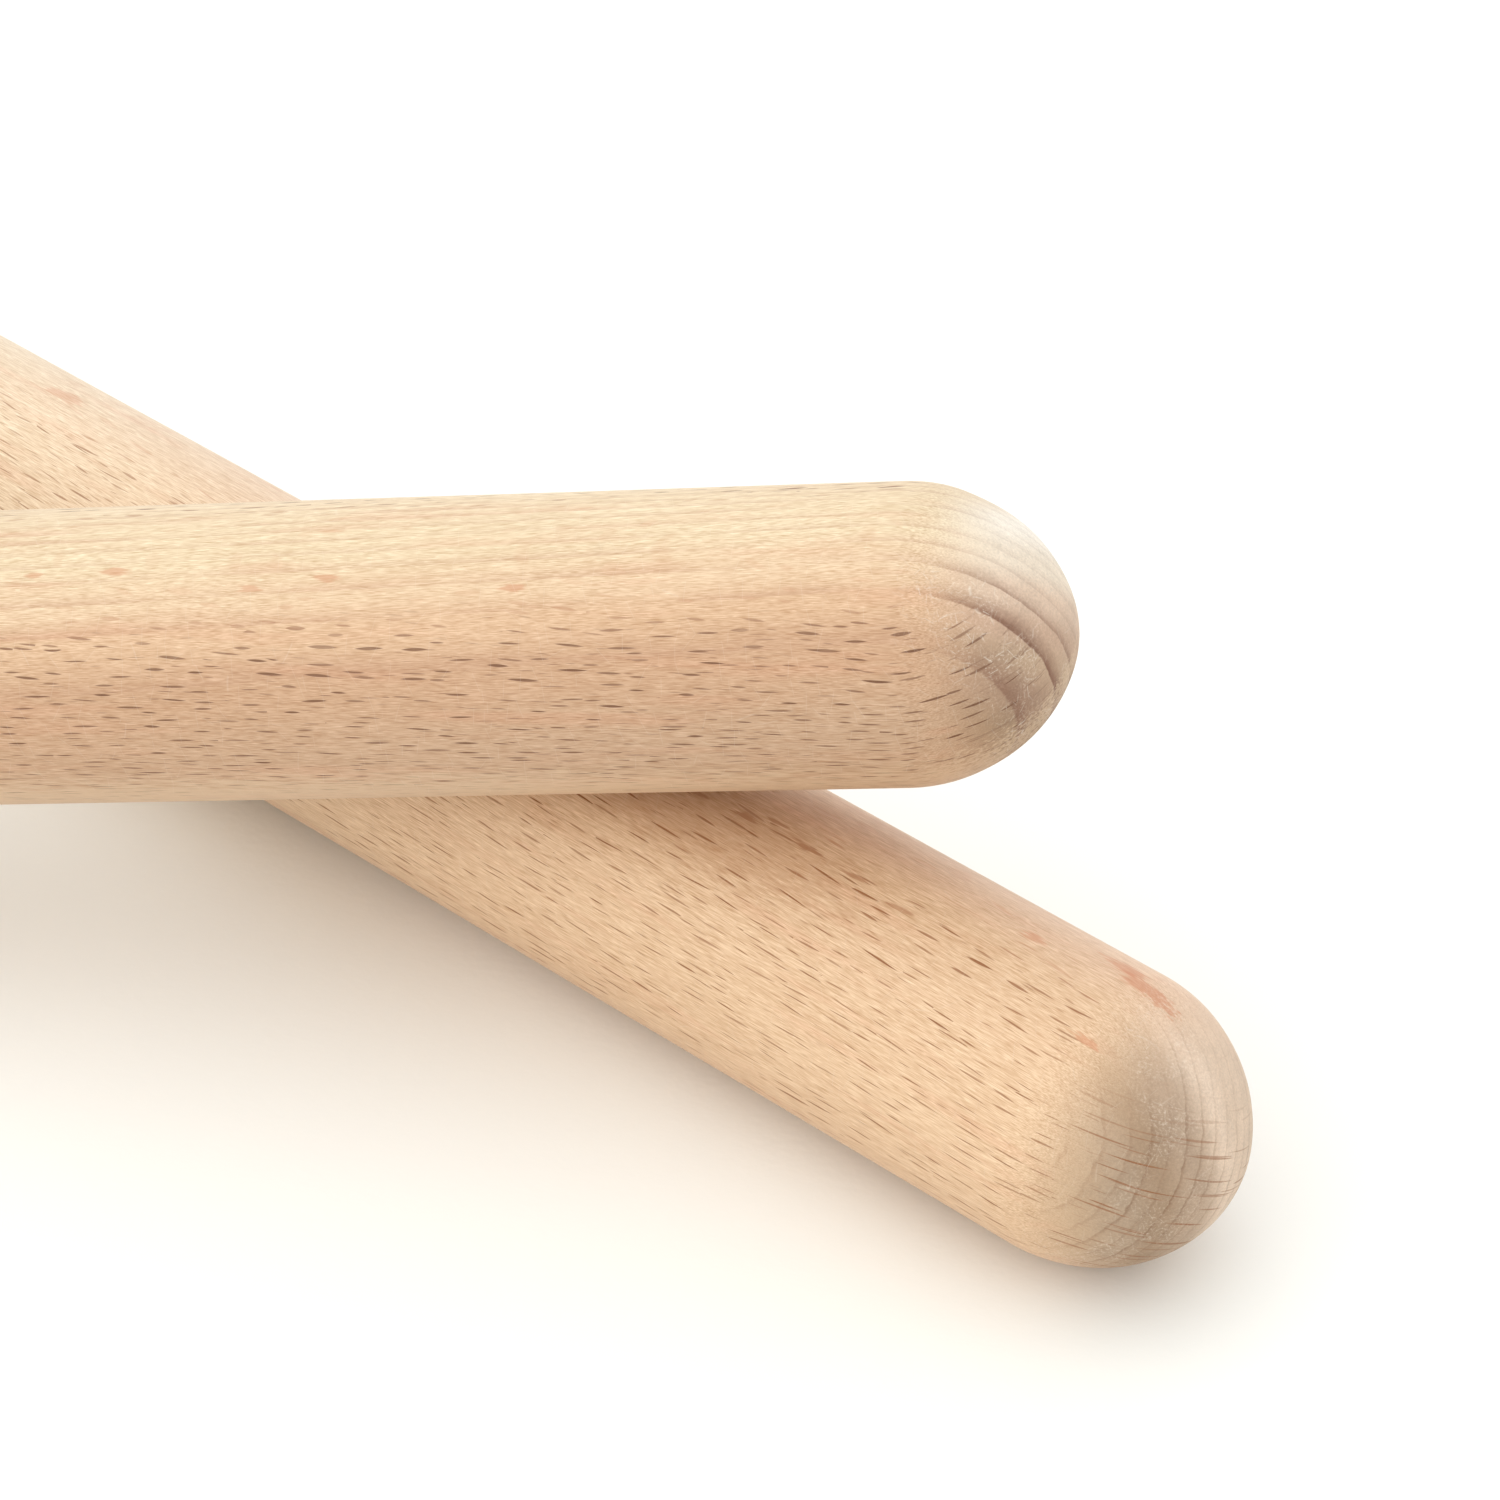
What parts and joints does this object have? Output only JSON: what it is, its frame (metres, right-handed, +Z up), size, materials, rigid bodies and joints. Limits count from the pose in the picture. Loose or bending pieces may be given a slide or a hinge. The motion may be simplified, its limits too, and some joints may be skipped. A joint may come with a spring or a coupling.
{
  "type": "claves",
  "caption": "Pair of plain turned wooden rhythm sticks with domed ends, one lying flat and the other resting across it, struck together by hand.",
  "frame": {"origin": "on the ground, below the middle of the pair's bounding box", "axes": "+Z up; +X along the striking clave in plan, towards its raised tip; the resting clave's near tip points to +X and -Y"},
  "size_m": [0.2162, 0.1152, 0.0543],
  "materials": {
    "resting_beech": "bare sanded",
    "striking_beech": "bare sanded"
  },
  "bodies": {
    "resting": {"resting_clave": "resting_beech"},
    "striking": {"striking_clave": "striking_beech"}
  },
  "joints": [
    {"name": "striking_lift", "type": "slide", "parent": "resting", "child": "striking", "axis": [0, 0, 1], "range_m": [0, 0.1]}
  ]
}
